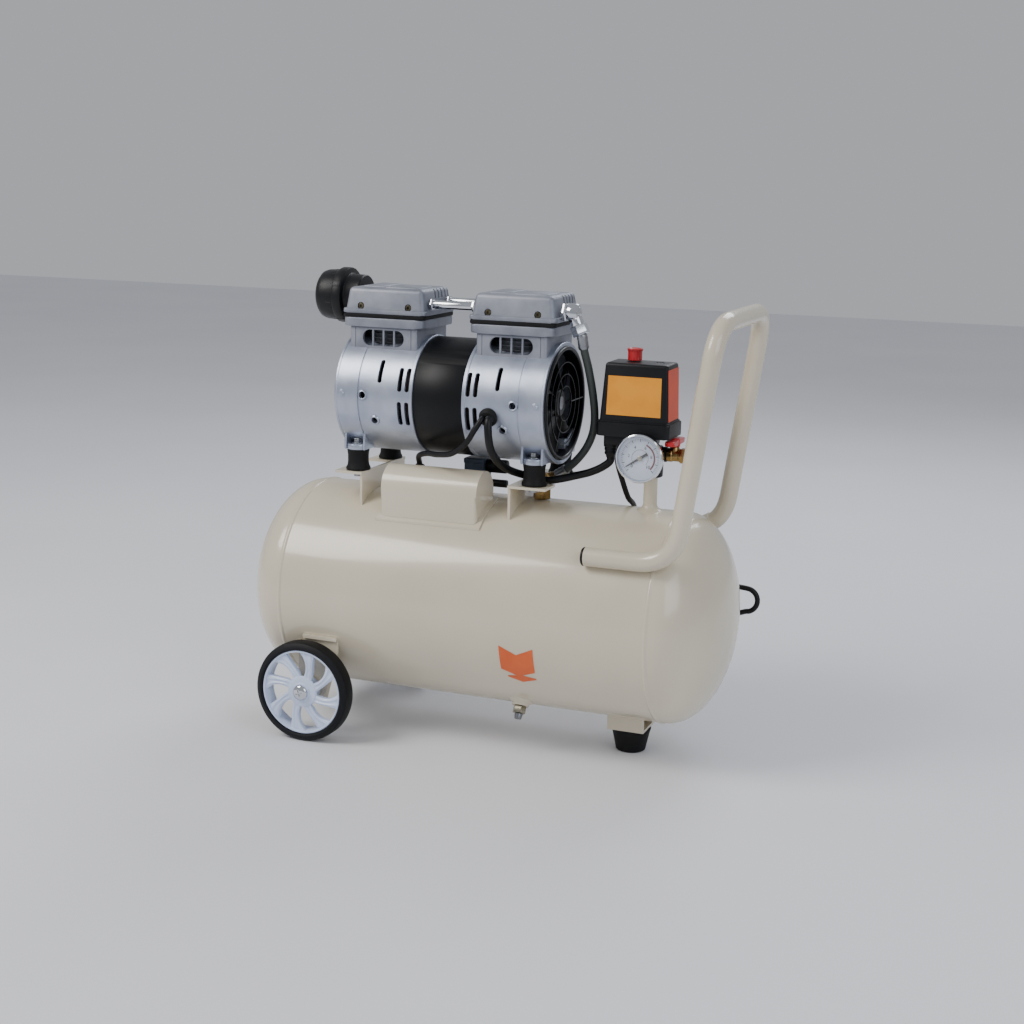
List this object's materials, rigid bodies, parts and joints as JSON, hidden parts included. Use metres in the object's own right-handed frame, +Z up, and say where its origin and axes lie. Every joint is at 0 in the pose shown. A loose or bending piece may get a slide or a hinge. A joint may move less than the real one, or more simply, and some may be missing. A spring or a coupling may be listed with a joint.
{
  "type": "air compressor",
  "caption": "Portable oil-free air compressor: horizontal tank on wheels and a rubber foot, twin-piston motor on top, pressure switch, gauge, outlet valve and bent tube handle.",
  "frame": {"origin": "on the floor under the middle of the machine's bounding box, measured without the mains cord", "axes": "+X along the tank from the wheels to the handle, -Y the side with the gauge's dial and the capacitor cover, +Z up"},
  "size_m": [0.6056, 0.2978, 0.5595],
  "materials": {
    "body_paint": "off-white stoved enamel",
    "cast_alloy": "satin die-cast",
    "head_alloy": "raw sand-grained casting",
    "bright_chrome": "bright plated",
    "valve_brass": "machined",
    "shaft_steel": "machined",
    "black_rubber": "moulded",
    "tyre_rubber": "moulded",
    "hose_rubber": "braided hose cover",
    "cable_sheath": "smooth sheath",
    "black_plastic": "moulded, fine texture",
    "red_plastic": "moulded",
    "wheel_plastic": "moulded",
    "lamination_black": "black dipped laminations",
    "capacitor_shell": "moulded",
    "relay_plastic": "moulded",
    "needle_black": "black",
    "lens_clear": "clear"
  },
  "bodies": {
    "chassis": {"tank": "body_paint", "wheel_bracket_front": "body_paint", "wheel_bracket_rear": "body_paint", "foot_bracket": "body_paint", "saddle_left": "body_paint", "saddle_right": "body_paint", "handle": "body_paint", "capacitor_cover": "body_paint", "crankcase_left": "cast_alloy", "crankcase_right": "cast_alloy", "head_left": "head_alloy", "head_right": "head_alloy", "transfer_tube_front": "bright_chrome", "transfer_tube_rear": "bright_chrome", "outlet_elbow": "bright_chrome", "gauge_case": "bright_chrome", "wheel_bolt_front": "bright_chrome", "wheel_bolt_rear": "bright_chrome", "drain_body": "valve_brass", "check_valve": "valve_brass", "valve_body": "valve_brass", "foot": "black_rubber", "mount_left_front": "black_rubber", "mount_left_rear": "black_rubber", "mount_right_front": "black_rubber", "mount_right_rear": "black_rubber", "valve_plate_left": "black_rubber", "valve_plate_right": "black_rubber", "hose": "hose_rubber", "cable_capacitor": "cable_sheath", "cable_switch": "cable_sheath", "power_cord": "cable_sheath", "cord_hank": "cable_sheath", "handle_plug_front": "black_plastic", "handle_plug_rear": "black_plastic", "fan_ring_left": "black_plastic", "fan_ring_right": "black_plastic", "filter_base": "black_plastic", "filter_cap": "black_plastic", "switch_base": "black_plastic", "switch_cover": "black_plastic", "manifold": "black_plastic", "power_plug": "black_plastic", "stator": "lamination_black", "capacitor": "capacitor_shell", "unloader_valve": "relay_plastic", "gauge_lens": "lens_clear"},
    "wheel_front": {"tyre_front": "tyre_rubber", "rim_front": "wheel_plastic"},
    "wheel_rear": {"tyre_rear": "tyre_rubber", "rim_rear": "wheel_plastic"},
    "motor_shaft": {"rotor": "shaft_steel", "fan_left": "black_plastic", "fan_right": "black_plastic"},
    "left_piston": {"piston_left": "cast_alloy"},
    "right_piston": {"piston_right": "cast_alloy"},
    "pressure_button": {"switch_button": "red_plastic"},
    "outlet_lever": {"valve_lever": "red_plastic"},
    "drain_knob": {"drain_screw": "shaft_steel"},
    "needle": {"gauge_needle": "needle_black"}
  },
  "joints": [
    {"name": "wheel_front_spin", "type": "hinge", "parent": "chassis", "child": "wheel_front", "pos_m": [-0.1941, -0.1315, 0.0615], "axis": [0, 1, 0], "continuous": true},
    {"name": "wheel_rear_spin", "type": "hinge", "parent": "chassis", "child": "wheel_rear", "pos_m": [-0.1941, 0.1315, 0.0615], "axis": [0, 1, 0], "continuous": true},
    {"name": "motor_spin", "type": "hinge", "parent": "chassis", "child": "motor_shaft", "pos_m": [-0.0506, 0, 0.4133], "axis": [1, 0, 0], "continuous": true},
    {"name": "left_piston_stroke", "type": "slide", "parent": "chassis", "child": "left_piston", "axis": [0, 0, 1], "range_m": [-0.012, 0]},
    {"name": "right_piston_stroke", "type": "slide", "parent": "chassis", "child": "right_piston", "axis": [0, 0, 1], "range_m": [-0.012, 0]},
    {"name": "switch_pull", "type": "slide", "parent": "chassis", "child": "pressure_button", "axis": [0, 0, 1], "range_m": [0, 0.005]},
    {"name": "outlet_turn", "type": "hinge", "parent": "chassis", "child": "outlet_lever", "pos_m": [0.2192, 0, 0.375], "axis": [0, 0, 1], "range_deg": [0, 90]},
    {"name": "drain_turn", "type": "hinge", "parent": "chassis", "child": "drain_knob", "pos_m": [0.0599, -0.0715, 0.04646], "axis": [0, -0.5, -0.866], "range_deg": [-180, 0]},
    {"name": "needle_sweep", "type": "hinge", "parent": "chassis", "child": "needle", "pos_m": [0.1899, -0.0401, 0.3625], "axis": [0, 1, 0], "range_deg": [0, 260], "stiffness_Nm_per_rad": 0.0002}
  ]
}
